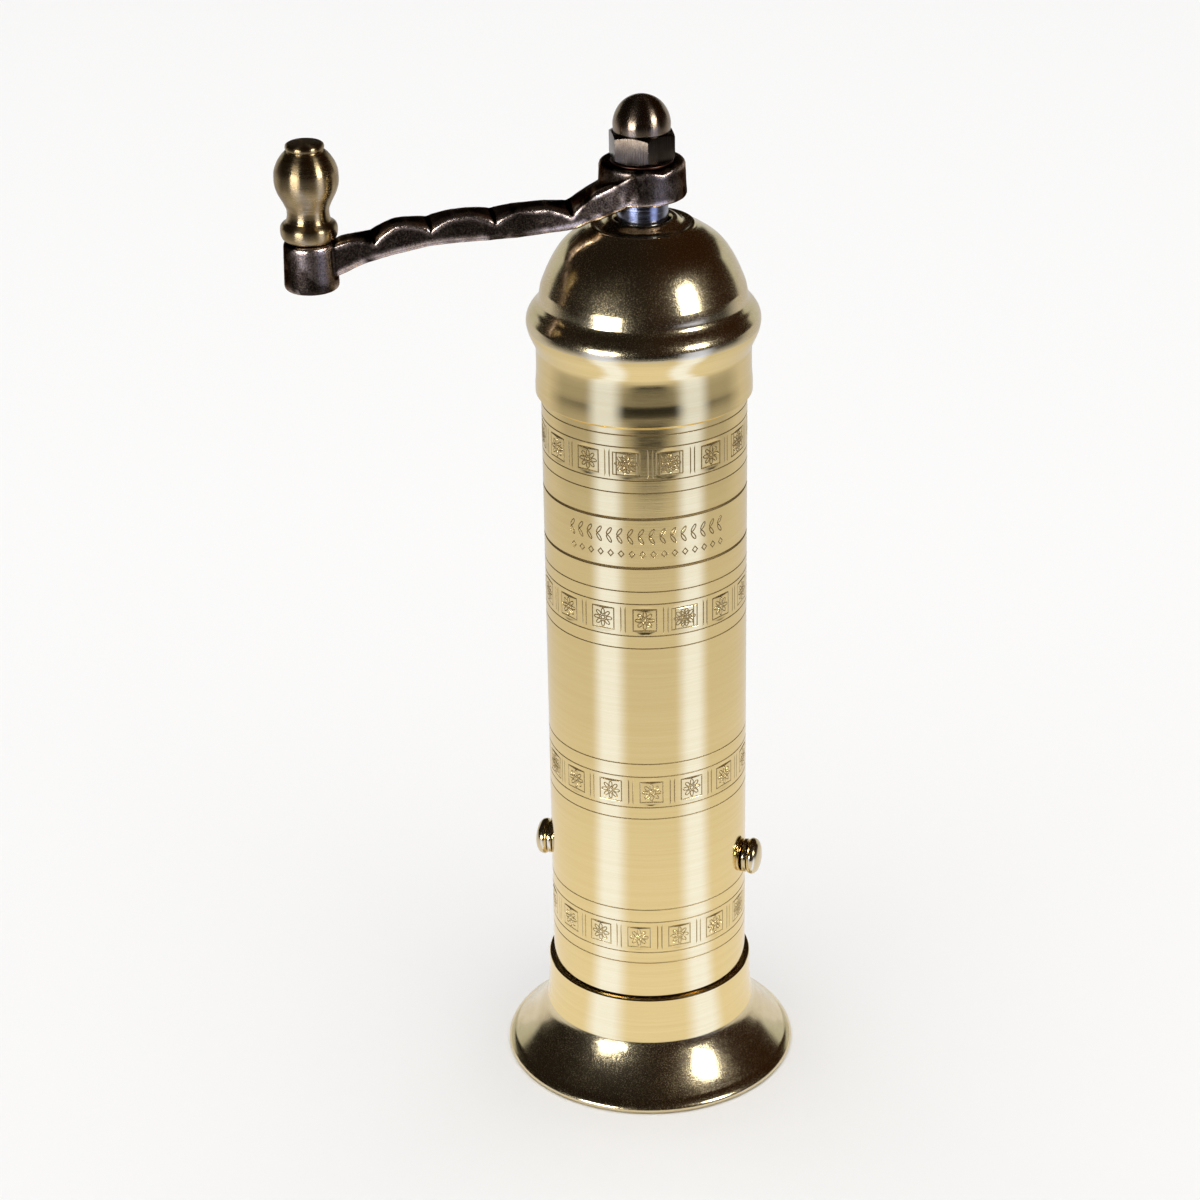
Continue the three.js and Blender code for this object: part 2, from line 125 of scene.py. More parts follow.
# ---- outlines ----------------------------------------------------------------------------
def curve(points, steps=6):
    """A smooth curve through [a, b] points, ends included."""
    p = np.array(points, float)
    p = np.vstack([2 * p[0] - p[1], p, 2 * p[-1] - p[-2]])
    t = np.linspace(0, 1, steps, endpoint=False)[:, None]
    out = []
    for a, b, c, d in zip(p, p[1:], p[2:], p[3:]):
        out.append(0.5 * (2 * b + (c - a) * t + (2 * a - 5 * b + 4 * c - d) * t**2
                          + (3 * b - a - 3 * c + d) * t**3))
    return [list(x) for x in np.vstack([*out, p[-2:-1]])]


def softened(points, radius, closed=True, least=14):
    """The outline with its corners rounded off by up to radius."""
    p = np.array(points, float)
    count = len(p)
    out = []
    for k in range(count):
        if not closed and k in (0, count - 1):
            out.append(list(p[k]))
            continue
        here, back, ahead = p[k], p[k - 1], p[(k + 1) % count]
        a, b = back - here, ahead - here
        la, lb = np.linalg.norm(a), np.linalg.norm(b)
        turn = 180 - math.degrees(math.acos(np.clip(a @ b / (la * lb), -1, 1)))
        if turn < least:
            out.append(list(here))
            continue
        cut = min(radius, 0.42 * la, 0.42 * lb)
        start, end = here + a / la * cut, here + b / lb * cut
        for t in (0, 0.33, 0.67, 1):
            out.append(list((1 - t) ** 2 * start + 2 * t * (1 - t) * here + t * t * end))
    return out


# ---- meshes ------------------------------------------------------------------------------
def lathe(profile, segments=ROUND, closed=True):
    """Turns [radius, height] points about Z. Returns vertices and faces."""
    verts, faces, rings = [], [], []
    angles = np.linspace(0, 2 * math.pi, segments, endpoint=False)
    for r, z in profile:
        if r < 1e-6:
            rings.append([len(verts)] * segments)
            verts.append((0, 0, z))
        else:
            rings.append(list(range(len(verts), len(verts) + segments)))
            verts += [(r * math.cos(a), r * math.sin(a), z) for a in angles]
    pairs = list(zip(rings, rings[1:] + rings[:1]))
    for lower, upper in pairs if closed else pairs[:-1]:
        for k in range(segments):
            n = (k + 1) % segments
            face = [lower[k], lower[n], upper[n], upper[k]]
            face = [v for i, v in enumerate(face) if v not in face[:i]]
            if len(face) > 2:
                faces.append(face)
    return verts, faces


def mesh_of(name, verts, faces):
    """A mesh in millimetres with its normals outward."""
    mesh = bpy.data.meshes.new(name)
    mesh.from_pydata([tuple(v) for v in verts], [], faces)
    work = bmesh.new()
    work.from_mesh(mesh)
    bmesh.ops.remove_doubles(work, verts=work.verts, dist=1e-4)
    bmesh.ops.recalc_face_normals(work, faces=work.faces)
    work.to_mesh(mesh)
    work.free()
    return mesh


def boolean(mesh, other, operation):
    """One closed mesh with another joined on, cut away or kept in common."""
    a = bpy.data.objects.new("a", mesh)
    b = bpy.data.objects.new("b", other)
    for o in (a, b):
        bpy.context.scene.collection.objects.link(o)
    step = a.modifiers.new("cut", "BOOLEAN")
    step.operation = operation
    step.solver = "MANIFOLD"
    step.object = b
    return baked(a, drop=[b])


def baked(obj, drop=()):
    """obj's mesh with its modifiers applied; obj itself is removed."""
    bpy.context.view_layer.update()
    graph = bpy.context.evaluated_depsgraph_get()
    made = bpy.data.meshes.new_from_object(obj.evaluated_get(graph))
    for o in (obj, *drop):
        bpy.data.objects.remove(o)
    return made


def modified(mesh, kind, **settings):
    """The mesh with one modifier applied."""
    obj = bpy.data.objects.new("work", mesh)
    bpy.context.scene.collection.objects.link(obj)
    step = obj.modifiers.new("step", kind)
    for key, value in settings.items():
        setattr(step, key, value)
    return baked(obj)


def shown(name, mesh, finishes, at=MILL, sharp=30, turn=None):
    """A millimetre mesh as an object in metres, shaded smooth up to sharp degrees."""
    if turn is not None:
        mesh.transform(turn)
    mesh.transform(Matrix.Scale(MM, 4))
    mesh.name = name
    mesh.materials.clear()
    for finish in finishes:
        mesh.materials.append(finish)
    mesh.polygons.foreach_set("use_smooth", [True] * len(mesh.polygons))
    mesh.set_sharp_from_angle(angle=math.radians(sharp))
    obj = bpy.data.objects.new(name, mesh)
    obj.location = at
    bpy.context.scene.collection.objects.link(obj)
    return obj


def place(name, mesh, body, node, slot, finishes, **look):
    """Shows a mesh over the CAD node it stands for, riding on that node's body."""
    obj = shown(name, mesh, finishes, **look)
    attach(obj, body)
    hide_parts(node)
    return obj


def grid_faces(rows, width, closed=True):
    """Quads between rows of width points each; closed joins each row's end to its start."""
    faces = []
    for j in range(rows - 1):
        for k in range(width if closed else width - 1):
            n = (k + 1) % width
            faces.append([j * width + k, j * width + n,
                          (j + 1) * width + n, (j + 1) * width + k])
    return faces


def square(half, bottom, top):
    """A square bar about the axis, half wide to each side."""
    return prism([[-half, -half], [half, -half], [half, half], [-half, half]], bottom, top)


def number_attribute(mesh, name, values):
    """Stores one number a vertex, for the finish to read."""
    layer = mesh.attributes.new(name, "FLOAT", "POINT")
    layer.data.foreach_set("value", np.asarray(values, np.float32))


def points_of(mesh):
    """The mesh's vertices as rows of x, y and z."""
    co = np.empty(len(mesh.vertices) * 3, np.float32)
    mesh.vertices.foreach_get("co", co)
    return co.reshape(-1, 3).astype(float)


# ---- node materials ----------------------------------------------------------------------
class Nodes:
    """Adds nodes to a tree; an input is given as a plain value or as another node's socket."""

    def __init__(self, tree):
        self.tree = tree

    def give(self, socket, value):
        if isinstance(value, bpy.types.NodeSocket):
            self.tree.links.new(value, socket)
        else:
            socket.default_value = value

    def add(self, kind, inputs=None, **settings):
        made = self.tree.nodes.new(kind)
        for key, setting in settings.items():
            setattr(made, key, setting)
        for key, value in (inputs or {}).items():
            self.give(made.inputs[key], value)
        return made

    def remap(self, value, low, high, to_low=0.0, to_high=1.0, **settings):
        inputs = {"Value": value, "From Min": low, "From Max": high,
                  "To Min": to_low, "To Max": to_high}
        return self.add("ShaderNodeMapRange", inputs, **settings).outputs["Result"]

    def math(self, operation, a, b=0.0):
        return self.add("ShaderNodeMath", {0: a, 1: b}, operation=operation).outputs[0]

    def mix(self, factor, a, b):
        made = self.add("ShaderNodeMix", {"Factor": factor}, data_type="RGBA")
        for socket, colour in ((made.inputs[6], a), (made.inputs[7], b)):
            plain = isinstance(colour, tuple)
            self.give(socket, (*colour, 1) if plain else colour)
        return made.outputs[2]


class Finish(Nodes):
    """A material with one Principled shader and the nodes that vary it over the surface."""

    def __init__(self, name, metallic=1.0, anisotropic=0.0):
        self.material = bpy.data.materials.new(name)
        self.material.use_nodes = True
        super().__init__(self.material.node_tree)
        self.shader = self.tree.nodes["Principled BSDF"]
        self.shader.inputs["Metallic"].default_value = metallic
        self.coords = self.add("ShaderNodeTexCoord").outputs["Object"]
        if anisotropic:
            # Brushed round the axis, so a highlight spreads up and down, across the brushing.
            self.shader.inputs["Anisotropic"].default_value = anisotropic
            self.shader.inputs["Anisotropic Rotation"].default_value = 0.25
            tangent = self.add("ShaderNodeTangent", direction_type="RADIAL", axis="Z")
            self.set("Tangent", tangent.outputs["Tangent"])

    def set(self, socket, value):
        self.give(self.shader.inputs[socket], value)

    def noise(self, size, detail=3.0, roughness=0.55):
        """Noise whose features are about size millimetres along x, y and z."""
        scale = [1 / (MM * s) for s in size]
        stretched = self.add("ShaderNodeMapping", {"Vector": self.coords, "Scale": scale})
        inputs = {"Vector": stretched.outputs["Vector"], "Scale": 1.0, "Detail": detail,
                  "Roughness": roughness}
        return self.add("ShaderNodeTexNoise", inputs).outputs["Fac"]

    def attribute(self, name):
        return self.add("ShaderNodeAttribute", attribute_name=name).outputs["Fac"]

    def bump(self, height, depth, strength=1.0, under=None):
        """Relief of height 0 to 1 times depth millimetres."""
        inputs = {"Height": height, "Distance": depth * MM, "Strength": strength}
        if under is not None:
            inputs["Normal"] = under
        return self.add("ShaderNodeBump", inputs).outputs["Normal"]


def satin_brass():
    """Brass brushed round its axis, with tarnish lying in the engraved lines."""
    f = Finish("satin_brass")
    hairline = f.noise((14, 14, 0.14), detail=4, roughness=0.6)
    band = f.noise((60, 60, 0.9), detail=3)
    cloud = f.noise((14, 14, 9), detail=3)
    tone = f.mix(f.remap(band, 0.3, 0.7), (0.89, 0.70, 0.335), (0.93, 0.745, 0.37))
    tone = f.mix(f.remap(hairline, 0.35, 0.75, 0, 0.4), tone, (0.80, 0.60, 0.26))
    tone = f.mix(f.remap(cloud, 0.55, 0.8, 0, 0.22), tone, (0.86, 0.66, 0.32))
    height = f.add("ShaderNodeSeparateXYZ", {"Vector": f.coords}).outputs["Z"]
    groove = f.remap(f.attribute("cut"), 0.01, 0.15)
    tarnish = f.math("MULTIPLY", groove, f.remap(height, 0.03, 0.12, 0.45, 0.75))
    f.set("Base Color", f.mix(tarnish, tone, (0.16, 0.095, 0.03)))
    shine = f.remap(hairline, 0.25, 0.8, 0.07, 0.16)
    f.set("Roughness", f.math("MAXIMUM", shine, f.math("MULTIPLY", groove, 0.6)))
    f.set("Normal", f.bump(hairline, 0.004))
    return f.material


def polished_brass():
    """Bright brass, with the fine orange-peel grain that a worn polish leaves."""
    f = Finish("polished_brass")
    grain = f.noise((0.13, 0.13, 0.13), detail=2, roughness=0.6)
    haze = f.noise((7, 7, 5), detail=3)
    tone = f.mix(f.remap(haze, 0.35, 0.7), (0.77, 0.66, 0.43), (0.70, 0.57, 0.33))
    f.set("Base Color", tone)
    rough = f.remap(haze, 0.3, 0.75, 0.08, 0.16)
    f.set("Roughness", f.math("ADD", rough, f.remap(grain, 0.45, 0.7, 0, 0.2)))
    f.set("Normal", f.bump(grain, 0.0022))
    return f.material


def aged_brass():
    """Handled brass gone brown, darker in blotches and along fine turning marks."""
    f = Finish("aged_brass", anisotropic=0.9)
    turning = f.noise((12, 12, 0.22), detail=3)
    blotch = f.noise((3.2, 3.2, 3.2), detail=4, roughness=0.6)
    speck = f.noise((0.4, 0.4, 0.4), detail=2)
    tone = f.mix(f.remap(blotch, 0.35, 0.7), (0.42, 0.315, 0.165), (0.29, 0.205, 0.10))
    tone = f.mix(f.remap(speck, 0.62, 0.75, 0, 0.5), tone, (0.62, 0.5, 0.3))
    f.set("Base Color", tone)
    rough = f.remap(blotch, 0.3, 0.75, 0.2, 0.34)
    f.set("Roughness", f.math("ADD", rough, f.remap(turning, 0.4, 0.8, 0, 0.1)))
    normal = f.bump(turning, 0.006)
    f.set("Normal", f.bump(speck, 0.01, under=normal))
    return f.material


def cast_bronze():
    """Sand-cast bronze: brown and grainy, rubbed to pinkish metal on its edges, with painted
    shade darkening its upward faces.
    """
    f = Finish("cast_bronze")
    f.set("Specular Tint", (0.3, 0.26, 0.22, 1))
    sand = f.noise((0.3, 0.3, 0.3), detail=4, roughness=0.7)
    pit = f.noise((0.9, 0.9, 0.9), detail=3)
    blotch = f.noise((5, 5, 5), detail=3)
    patch = f.noise((6, 6, 6), detail=2)
    tone = f.mix(f.remap(sand, 0.45, 0.66), (0.016, 0.011, 0.008), (0.115, 0.085, 0.062))
    tone = f.mix(f.remap(blotch, 0.4, 0.7, 0, 0.5), tone, (0.04, 0.028, 0.02))
    # Faces turned upward are toned nearly black: painted shade, standing in for the dark room
    # above that they reflect.
    facing = f.add("ShaderNodeNewGeometry").outputs["Normal"]
    upward_shade = f.add("ShaderNodeSeparateXYZ", {"Vector": facing}).outputs["Z"]
    tone = f.mix(f.remap(upward_shade, 0.4, 0.8, 0, 0.85), tone, (0.011, 0.008, 0.006))
    broken = f.math("MULTIPLY", f.remap(sand, 0.3, 0.6, 0.4, 1), f.remap(patch, 0.42, 0.56))
    rubbed = f.math("MULTIPLY", f.attribute("wear"), broken)
    tone = f.mix(rubbed, tone, (0.86, 0.68, 0.58))
    f.set("Base Color", tone)
    f.set("Roughness", f.math("SUBTRACT", f.remap(sand, 0.3, 0.7, 0.24, 0.4),
                              f.math("MULTIPLY", rubbed, 0.1)))
    normal = f.bump(pit, 0.05, strength=0.8)
    f.set("Normal", f.bump(sand, 0.035, under=normal))
    return f.material


def dark_bronze():
    """The nut's dark plated brass, with file marks running up its flats, which are painted darker
    than the dome as painted shade.
    """
    f = Finish("dark_bronze", anisotropic=0.85)
    file_marks = f.noise((0.18, 0.18, 6), detail=3)
    blotch = f.noise((2.2, 2.2, 2.2), detail=4)
    domed = f.mix(f.remap(blotch, 0.35, 0.7), (0.31, 0.24, 0.17), (0.21, 0.155, 0.105))
    # The flats get a darker tone than the dome: painted shade, for the dark that the flats
    # reflect.
    shaded_flats = f.mix(f.remap(blotch, 0.35, 0.7), (0.095, 0.076, 0.058), (0.06, 0.045, 0.033))
    tone = f.mix(f.attribute("shaded_flats"), domed, shaded_flats)
    tone = f.mix(f.math("MULTIPLY", f.attribute("wear"), 0.6), tone, (0.55, 0.46, 0.36))
    f.set("Base Color", tone)
    f.set("Roughness", f.remap(file_marks, 0.3, 0.7, 0.16, 0.3))
    f.set("Normal", f.bump(file_marks, 0.008))
    return f.material


def bright_steel():
    """Ground steel with a slight blue cast and fine grinding marks."""
    f = Finish("bright_steel")
    grinding = f.noise((8, 8, 0.15), detail=3)
    stain = f.noise((3, 3, 2), detail=3)
    tone = f.mix(f.remap(stain, 0.4, 0.7), (0.38, 0.40, 0.49), (0.24, 0.24, 0.29))
    f.set("Base Color", tone)
    f.set("Roughness", f.remap(grinding, 0.3, 0.7, 0.12, 0.28))
    f.set("Normal", f.bump(grinding, 0.005))
    return f.material


def burr_steel():
    """Hardened burr steel, dark and matt, with pepper dust in its grain."""
    f = Finish("burr_steel", metallic=0.9)
    grain = f.noise((0.4, 0.4, 0.4), detail=4)
    dust = f.noise((2.5, 2.5, 1.5), detail=4)
    tone = f.mix(f.remap(grain, 0.35, 0.7), (0.12, 0.12, 0.13), (0.25, 0.24, 0.24))
    tone = f.mix(f.remap(dust, 0.55, 0.75, 0, 0.6), tone, (0.17, 0.12, 0.08))
    f.set("Base Color", tone)
    f.set("Roughness", f.remap(dust, 0.3, 0.8, 0.35, 0.65))
    f.set("Normal", f.bump(grain, 0.02))
    return f.material


def washer_bronze():
    """The spring washer's dull red bronze."""
    f = Finish("washer_bronze")
    grain = f.noise((0.5, 0.5, 0.3), detail=3)
    f.set("Base Color", f.mix(f.remap(grain, 0.35, 0.7), (0.16, 0.07, 0.045), (0.1, 0.05, 0.035)))
    f.set("Roughness", f.remap(grain, 0.3, 0.7, 0.28, 0.5))
    f.set("Normal", f.bump(grain, 0.01))
    return f.material


SATIN = satin_brass()
POLISHED = polished_brass()
AGED = aged_brass()
CAST = cast_bronze()
DARK = dark_bronze()
STEEL = bright_steel()
BURR = burr_steel()
WASHER = washer_bronze()


# ---- engraving ---------------------------------------------------------------------------
# A stroke is (points, closed, half width, depth), in the tile's own flat x and y.
def line(a, b, weight=1.0):
    return ([a, b], False, STROKE_HALF, STROKE_DEPTH * weight)


def loop(points, weight=1.0, half=STROKE_HALF):
    return (points, True, half, STROKE_DEPTH * weight)


def ellipse(centre, along, across, angle, count):
    """Points round an ellipse that is turned by angle radians."""
    out = []
    for t in np.linspace(0, 2 * math.pi, count, endpoint=False):
        u, v = along * math.cos(t), across * math.sin(t)
        x = centre[0] + u * math.cos(angle) - v * math.sin(angle)
        y = centre[1] + u * math.sin(angle) + v * math.cos(angle)
        out.append([x, y])
    return out


def flower_square(weight, shift):
    """The stamp: a square frame round a flower of eight petals with a ringed eye."""
    half = SQUARE_HALF
    frame_points = [[shift - half, -half], [shift + half, -half],
                    [shift + half, half], [shift - half, half]]
    strokes = [loop(frame_points, weight)]
    strokes.append(loop(ellipse((shift, 0), 0.4, 0.4, 0, 10), weight * 0.9, 0.12))
    for k in range(8):
        angle = 2 * math.pi * k / 8
        middle = (shift + 1.26 * math.cos(angle), 1.26 * math.sin(angle))
        strokes.append(loop(ellipse(middle, 0.62, 0.33, angle, 12), weight * 0.85, 0.12))
    return strokes


def flower_tile():
    """One stamped square between two bars, struck as unevenly as by hand."""
    edge = TILE_WIDTH / 2 - 0.43
    strokes = []
    for side in (-1, 1):
        strokes.append(line([side * edge, -SQUARE_HALF], [side * edge, SQUARE_HALF],
                            random.uniform(0.45, 1)))
    chance = random.random()
    strokes += flower_square(random.uniform(0.6, 1), random.uniform(-0.12, 0.12))
    if chance < 0.35:
        strokes += flower_square(random.uniform(0.35, 0.7), random.choice([-1, 1]) * 0.75)
    tilt = (random.uniform(-0.14, 0.14), random.uniform(-0.16, 0.16))
    return strokes, tilt


def leaf_tile():
    """A generic border: slanting leaves in pairs, above a row of small lozenges."""
    strokes = []
    for k in range(4):
        x = (k - 1.5) * TILE_WIDTH / 4
        strokes.append(loop(ellipse((x - 0.3, 2.35), 0.85, 0.3, 1.0, 12), 0.8, 0.12))
        strokes.append(loop(ellipse((x - 0.3, 0.75), 0.85, 0.3, -1.0, 12), 0.8, 0.12))
        lozenge = [[x - 0.55, -2.2], [x, -2.85], [x + 0.55, -2.2], [x, -1.55]]
        strokes.append(loop(lozenge, 0.75, 0.12))
    return strokes, (0, 0)


def offset_path(points, closed, distance):
    """The polyline moved sideways by distance, with mitred corners."""
    p = np.array(points, float)
    if closed:
        before, after = p - np.roll(p, 1, 0), np.roll(p, -1, 0) - p
    else:
        step = np.diff(p, axis=0)
        before, after = np.vstack([step[:1], step]), np.vstack([step, step[-1:]])
    side = [np.stack([-d[:, 1], d[:, 0]], 1) / np.linalg.norm(d, axis=1)[:, None]
            for d in (before, after)]
    middle = side[0] + side[1]
    middle /= np.linalg.norm(middle, axis=1)[:, None]
    mitre = distance / np.maximum((middle * side[0]).sum(1), 0.4)
    return p + middle * mitre[:, None]


def groove_depth(points, strokes, tilt):
    """How deep the strokes cut at each flat point, from V-shaped grooves."""
    deepest = np.zeros(len(points))
    for path, closed, half, depth in strokes:
        p = np.array(path, float)
        ends = np.roll(p, -1, 0) if closed else p[1:]
        starts = p if closed else p[:-1]
        run = ends - starts
        rel = points[:, None] - starts[None]
        t = np.clip((rel * run).sum(2) / (run**2).sum(1), 0, 1)
        away = np.linalg.norm(rel - t[..., None] * run, axis=2).min(1)
        deepest = np.maximum(deepest, depth * np.clip(1 - away / half, 0, 1))
    uneven = 1 + points[:, 0] * tilt[0] + points[:, 1] * tilt[1]
    return deepest * np.clip(uneven, 0.3, 1.15)


def tile_mesh(strokes, tilt, height):
    """A flat tile cut up along its strokes: points, triangles and the depth at each point."""
    xs = np.linspace(-TILE_WIDTH / 2, TILE_WIDTH / 2, TILE_COLUMNS + 1)
    rows = max(2, round(height / ROW_HEIGHT))
    ys = np.linspace(-height / 2, height / 2, rows + 1)
    points = [Vector((x, y)) for y in ys for x in xs]
    edges = []
    for path, closed, half, _ in strokes:
        for distance in (-half, 0, half):
            moved = offset_path(path, closed, distance)
            first = len(points)
            points += [Vector(p) for p in moved]
            count = len(moved)
            edges += [(first + k, first + (k + 1) % count) for k in range(count - (not closed))]
    flat, _, faces, *_ = delaunay_2d_cdt(points, edges, [], 0, 1e-4)
    flat = np.array([list(p) for p in flat])
    return flat, faces, groove_depth(flat, strokes, tilt)


def wrapped(flat, faces, depth, centre_z, turn):
    """A tile's points laid round the tube at angle turn, and its faces."""
    angle = flat[:, 0] / TUBE_R + turn
    r = TUBE_R - depth
    verts = np.stack([r * np.cos(angle), r * np.sin(angle), flat[:, 1] + centre_z], 1)
    return verts, faces


def body_tube():
    """The tube: turned rings, with stamped tiles set between them."""
    verts, faces, cuts = [], [], []

    def add(new_verts, new_faces, new_cuts):
        start = len(verts)
        verts.extend(map(tuple, new_verts))
        faces.extend([[start + i for i in face] for face in new_faces])
        cuts.extend(new_cuts)

    def add_rows(rows, columns=range(ROUND)):
        """A strip of the tube's surface from rows of (radius, height, cut)."""
        whole = len(columns) == ROUND
        angles = [2 * math.pi * k / ROUND for k in columns]
        if not whole:
            angles.append(angles[-1] + 2 * math.pi / ROUND)
        width = len(angles)
        strip = [(r * math.cos(a), r * math.sin(a), z) for r, z, _ in rows for a in angles]
        quads = grid_faces(len(rows), width, closed=whole)
        add(strip, quads, [cut for _, _, cut in rows for _ in angles])

    rings = [(z, FINE_HALF, FINE_DEPTH) for z in FINE_RINGS]
    rings += [(z, HEAVY_HALF, HEAVY_DEPTH) for z in HEAVY_RINGS]
    bands = [(z, BAND_HEIGHT) for z in BAND_CENTRES] + [(TITLE_CENTRE, TITLE_HEIGHT)]
    outside_top = LID_BOTTOM - GAP
    rows = [(BORE_R, SEAM + 0.2, 0), (BORE_R + 0.2, SEAM, 0), (TUBE_R - 0.35, SEAM, 0),
            (TUBE_R - 0.1, SEAM + 0.1, 0), (TUBE_R, SEAM + 0.35, 0)]
    marks = sorted([(z, "ring", half, depth) for z, half, depth in rings]
                   + [(z, "band", height / 2, 0) for z, height in bands])
    for z, kind, half, depth in marks:
        if kind == "ring":
            rows += [(TUBE_R, z - half, 0), (TUBE_R - depth, z, 1), (TUBE_R, z + half, 0)]
        else:
            rows.append((TUBE_R, z - half, 0))
            add_rows(rows)
            rows = [(TUBE_R, z + half, 0)]
    rows += [(TUBE_R, outside_top - 0.3, 0), (TUBE_R - 0.3, outside_top, 0),
             (NECK_R, outside_top, 0), (NECK_R, NECK_TOP - 0.2, 0), (NECK_R - 0.2, NECK_TOP, 0),
             (BORE_R + 0.2, NECK_TOP, 0), (BORE_R, NECK_TOP - 0.2, 0), (BORE_R, SEAM + 0.2, 0)]
    add_rows(rows)

    step = 2 * math.pi / ROUND
    front = -math.pi / 2
    for z, phase in zip(BAND_CENTRES, BAND_PHASES):
        # The tiles' edges fall on the turned surface's own columns.
        first = round((front + math.radians(phase) - math.pi / TILES) / step) * step
        for k in range(TILES):
            strokes, tilt = flower_tile()
            flat, tile_faces, depth = tile_mesh(strokes, tilt, BAND_HEIGHT)
            turn = first + (k + 0.5) * 2 * math.pi / TILES
            add(*wrapped(flat, tile_faces, depth, z, turn), depth / STROKE_DEPTH)
    first_column = round(front / step) - TITLE_TILES // 2 * TILE_COLUMNS
    for k in range(TITLE_TILES):
        flat, tile_faces, depth = tile_mesh(*leaf_tile(), TITLE_HEIGHT)
        turn = (first_column + (k + 0.5) * TILE_COLUMNS) * step
        add(*wrapped(flat, tile_faces, depth, TITLE_CENTRE, turn), depth / STROKE_DEPTH)
    rest = range(first_column + TITLE_TILES * TILE_COLUMNS, first_column + ROUND)
    title_rows = round(TITLE_HEIGHT / ROW_HEIGHT)
    levels = np.linspace(-TITLE_HEIGHT / 2, TITLE_HEIGHT / 2, title_rows + 1)
    add_rows([(TUBE_R, TITLE_CENTRE + y, 0) for y in levels], columns=rest)

    mesh = bpy.data.meshes.new("body_tube")
    mesh.from_pydata(verts, [], faces)
    number_attribute(mesh, "cut", cuts)
    work = bmesh.new()
    work.from_mesh(mesh)
    bmesh.ops.remove_doubles(work, verts=work.verts, dist=2e-3)
    bmesh.ops.recalc_face_normals(work, faces=work.faces)
    work.to_mesh(mesh)
    work.free()
    place("body_tube_engraved", mesh, "body", "body_tube", "satin_brass", [SATIN], sharp=8)


def split_finish(obj, lowest, highest, beyond_r=0):
    """Gives the second finish to faces between the two heights, farther out than beyond_r."""
    for face in obj.data.polygons:
        x, y, z = face.center / MM
        if lowest < z < highest and math.hypot(x, y) > beyond_r:
            face.material_index = 1


def dome_lid():
    """The lid in one turned outline: skirt, bead, dome, lipped hole and hollow inside."""
    skirt = [[20.35, LID_BOTTOM], [20.85, LID_BOTTOM], [21.02, LID_BOTTOM + 0.2],
             [21.02, 149.4], [21.0, 150.6], *curve([[20.93, 151.4], [20.83, 153], [20.83, 157],
             [21.08, 158.2], [21.68, 159.6], [22.05, 160.45], [22.3, 161.1]], 5)]
    bead = curve([[22.42, 161.6], [22.57, 162.5], [22.5, 163.5], [22.15, 164.5], [21.46, 165.5],
                  [20.7, 166.35], [20.2, 167.2], [19.95, 168.4]], 5)
    dome = curve([[19.66, 169.8], [19.2, 171], [18.36, 173], [17.34, 175], [16.05, 177],
                  [14.55, 178.6], [12.6, 180], [11, 181], [10.3, 181.5]], 6)
    neck = curve([[10.15, 181.6], [9.8, 181.92], [9.35, 181.95], [8.9, 181.82], [8.35, 181.85],
                  [7.7, 182.12], [7.05, 182.65], [6.55, 183.05], [6.15, LID_TOP], [5.7, 183.1],
                  [5.3, 182.6]], 4)
    inside = curve([[5.3, 181.3], [8.6, 181], [13.6, 177.8], [17, 172], [18.9, 164.6]], 8)
    profile = [*skirt, *bead, *dome, *neck, *inside, [18.9, NECK_TOP + GAP],
               [NECK_R + GAP, NECK_TOP + GAP], [NECK_R + GAP, LID_BOTTOM + 0.3],
               [20.05, LID_BOTTOM]]
    lid = place("dome_lid_polished", mesh_of("lid", *lathe(profile)), "lid", "dome_lid",
                "polished_brass", [POLISHED, SATIN], sharp=28)
    split_finish(lid, LID_BOTTOM - 1, LID_SATIN_TOP)


def foot():
    """The foot: a rolled lip, a flare up to a crease, a collar, and a spigot in the tube."""
    crease = [21.6, FOOT_SATIN_BOTTOM]
    collar_top = SEAM - GAP
    # The flare bends outward sharply under the crease and more slowly below it.
    flare = curve([[28.45, 2.42], [26.85, 4], [25.14, 6], [23.68, 8], [22.44, 10],
                   [21.92, 11], crease], 6)
    lip = curve([[29.7, 0.15], [30, 0.75], [29.75, 1.4], [29.1, 2], [28.45, 2.42]], 4)
    collar = [*curve([[21.52, 12.05], [21.2, 14.5], [21, 17.5], [20.95, 20.4]], 5),
              [20.95, collar_top - 0.15], [20.85, collar_top - 0.04], [20.7, collar_top]]
    hollow = curve([[16.6, 13], [18.4, 9.2], [21.8, 6.2], [24.8, 3], [27.4, 0.3]], 6)
    profile = [[29.3, 0], *lip, *flare, *collar, [BORE_R - GAP, collar_top],
               *softened([[BORE_R - GAP, collar_top], [BORE_R - GAP, 27.5], [16.6, 27.5],
                          [16.6, 13.2]], 0.3, closed=False)[1:], *hollow, [27.7, 0]]
    flared = place("foot_flared", mesh_of("foot", *lathe(profile)), "body", "foot",
                   "polished_brass", [POLISHED, SATIN], sharp=20)
    split_finish(flared, FOOT_SATIN_BOTTOM, collar_top + 1, beyond_r=20)


